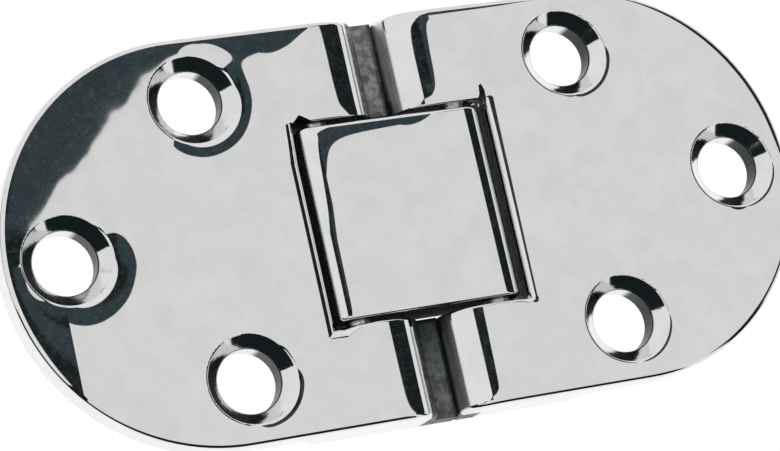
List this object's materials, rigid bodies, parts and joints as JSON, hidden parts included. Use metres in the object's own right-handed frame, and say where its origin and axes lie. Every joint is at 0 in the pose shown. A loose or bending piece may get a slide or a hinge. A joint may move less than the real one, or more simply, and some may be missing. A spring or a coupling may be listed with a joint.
{
  "type": "folding table hinge",
  "caption": "Flush folding hinge for table leaves: two D-shaped polished steel leaves joined by a square link on two pins, so that the leaves fold face to face.",
  "frame": {"origin": "middle of the flat hinge, on the plane of the hubs' undersides, which it rests on", "axes": "+X along the hinge towards the right leaf, +Y across it, +Z out of the polished face"},
  "size_m": [0.0612, 0.03, 0.0044],
  "materials": {
    "leaf_steel": "mirror-polished cast stainless steel, left rougher where the round finger ends meet and underneath",
    "link_steel": "mirror-polished cast stainless steel",
    "pin_steel": "ground stainless steel rod, ends dressed off nearly flush"
  },
  "bodies": {
    "left_half": {"left_leaf": "leaf_steel", "left_pin": "pin_steel"},
    "link": {"centre_link": "link_steel"},
    "right_half": {"right_leaf": "leaf_steel", "right_pin": "pin_steel"}
  },
  "joints": [
    {"name": "left_pivot", "type": "hinge", "parent": "left_half", "child": "link", "pos_m": [-0.00545, 0, 0.0028], "axis": [0, -1, 0], "range_deg": [0, 90]},
    {"name": "right_pivot", "type": "hinge", "parent": "link", "child": "right_half", "pos_m": [0.00545, 0, 0.0028], "axis": [0, -1, 0], "range_deg": [0, 90]}
  ]
}
